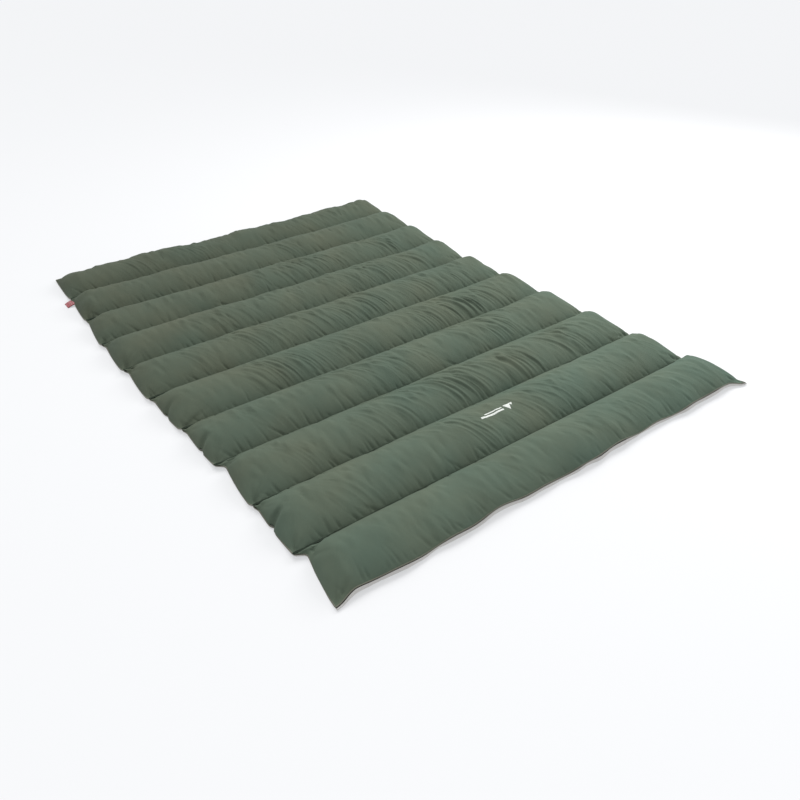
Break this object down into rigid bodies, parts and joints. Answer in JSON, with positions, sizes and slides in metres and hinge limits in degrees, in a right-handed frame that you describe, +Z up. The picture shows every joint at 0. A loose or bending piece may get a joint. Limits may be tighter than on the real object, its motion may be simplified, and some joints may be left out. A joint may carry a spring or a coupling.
{
  "type": "camp quilt",
  "caption": "Rectangular padded camp quilt, sewn through into parallel filled channels across its width, that folds up along its stitched seams for packing.",
  "frame": {"origin": "middle of the quilt's footprint, on the surface it lies on", "axes": "+X along the seams towards the side without the label, +Y along the length towards the labelled end, +Z up from the floor"},
  "size_m": [1.4508, 2, 0.0583],
  "materials": {
    "shell_fabric": "matte peached sage green weave",
    "lining_fabric": "matte light grey brushed weave",
    "filling_fibre": "loose white hollow fibre wadding",
    "edge_fabric": "matte folded cloth edge",
    "thread": "spun polyester thread",
    "label_weave": "woven tape, red with a black back",
    "print": "flat screen print"
  },
  "bodies": {
    "channel_01": {"shell_panel_01": "shell_fabric", "lining_panel_01": "lining_fabric", "filling_01": "filling_fibre", "edge_seam_01": "edge_fabric", "seam_cloth_1": "shell_fabric", "seam_thread_1": "thread"},
    "channel_02": {"shell_panel_02": "shell_fabric", "lining_panel_02": "lining_fabric", "filling_02": "filling_fibre", "edge_seam_02": "edge_fabric", "seam_cloth_2": "shell_fabric", "seam_thread_2": "thread", "loop_label": "label_weave"},
    "channel_03": {"shell_panel_03": "shell_fabric", "lining_panel_03": "lining_fabric", "filling_03": "filling_fibre", "edge_seam_03": "edge_fabric", "seam_cloth_3": "shell_fabric", "seam_thread_3": "thread"},
    "channel_04": {"shell_panel_04": "shell_fabric", "lining_panel_04": "lining_fabric", "filling_04": "filling_fibre", "edge_seam_04": "edge_fabric", "seam_cloth_4": "shell_fabric", "seam_thread_4": "thread"},
    "channel_05": {"shell_panel_05": "shell_fabric", "lining_panel_05": "lining_fabric", "filling_05": "filling_fibre", "edge_seam_05": "edge_fabric", "seam_cloth_5": "shell_fabric", "seam_thread_5": "thread"},
    "channel_06": {"shell_panel_06": "shell_fabric", "lining_panel_06": "lining_fabric", "filling_06": "filling_fibre", "edge_seam_06": "edge_fabric", "seam_cloth_6": "shell_fabric", "seam_thread_6": "thread"},
    "channel_07": {"shell_panel_07": "shell_fabric", "lining_panel_07": "lining_fabric", "filling_07": "filling_fibre", "edge_seam_07": "edge_fabric", "seam_cloth_7": "shell_fabric", "seam_thread_7": "thread"},
    "channel_08": {"shell_panel_08": "shell_fabric", "lining_panel_08": "lining_fabric", "filling_08": "filling_fibre", "edge_seam_08": "edge_fabric", "seam_cloth_8": "shell_fabric", "seam_thread_8": "thread"},
    "channel_09": {"shell_panel_09": "shell_fabric", "lining_panel_09": "lining_fabric", "filling_09": "filling_fibre", "edge_seam_09": "edge_fabric", "seam_cloth_9": "shell_fabric", "seam_thread_9": "thread", "printed_mark": "print"},
    "channel_10": {"shell_panel_10": "shell_fabric", "lining_panel_10": "lining_fabric", "filling_10": "filling_fibre", "edge_seam_10": "edge_fabric"}
  },
  "joints": [
    {"name": "seam_1_fold", "type": "hinge", "parent": "channel_01", "child": "channel_02", "pos_m": [0, 0.8, 0.012], "axis": [-1, 0, 0], "range_deg": [0, 68], "deforming": ["seam_cloth_1", "seam_thread_1"]},
    {"name": "seam_2_fold", "type": "hinge", "parent": "channel_02", "child": "channel_03", "pos_m": [0, 0.6, 0.012], "axis": [1, 0, 0], "range_deg": [-68, 0], "deforming": ["seam_cloth_2", "seam_thread_2"]},
    {"name": "seam_3_fold", "type": "hinge", "parent": "channel_03", "child": "channel_04", "pos_m": [0, 0.4, 0.012], "axis": [-1, 0, 0], "range_deg": [0, 68], "deforming": ["seam_cloth_3", "seam_thread_3"]},
    {"name": "seam_4_fold", "type": "hinge", "parent": "channel_04", "child": "channel_05", "pos_m": [0, 0.2, 0.012], "axis": [1, 0, 0], "range_deg": [-68, 0], "deforming": ["seam_cloth_4", "seam_thread_4"]},
    {"name": "seam_5_fold", "type": "hinge", "parent": "channel_05", "child": "channel_06", "pos_m": [0, 0, 0.012], "axis": [-1, 0, 0], "range_deg": [0, 68], "deforming": ["seam_cloth_5", "seam_thread_5"]},
    {"name": "seam_6_fold", "type": "hinge", "parent": "channel_06", "child": "channel_07", "pos_m": [0, -0.2, 0.012], "axis": [1, 0, 0], "range_deg": [-68, 0], "deforming": ["seam_cloth_6", "seam_thread_6"]},
    {"name": "seam_7_fold", "type": "hinge", "parent": "channel_07", "child": "channel_08", "pos_m": [0, -0.4, 0.012], "axis": [-1, 0, 0], "range_deg": [0, 68], "deforming": ["seam_cloth_7", "seam_thread_7"]},
    {"name": "seam_8_fold", "type": "hinge", "parent": "channel_08", "child": "channel_09", "pos_m": [0, -0.6, 0.012], "axis": [1, 0, 0], "range_deg": [-68, 0], "deforming": ["seam_cloth_8", "seam_thread_8"]},
    {"name": "seam_9_fold", "type": "hinge", "parent": "channel_09", "child": "channel_10", "pos_m": [0, -0.8, 0.012], "axis": [-1, 0, 0], "range_deg": [0, 68], "deforming": ["seam_cloth_9", "seam_thread_9"]}
  ]
}
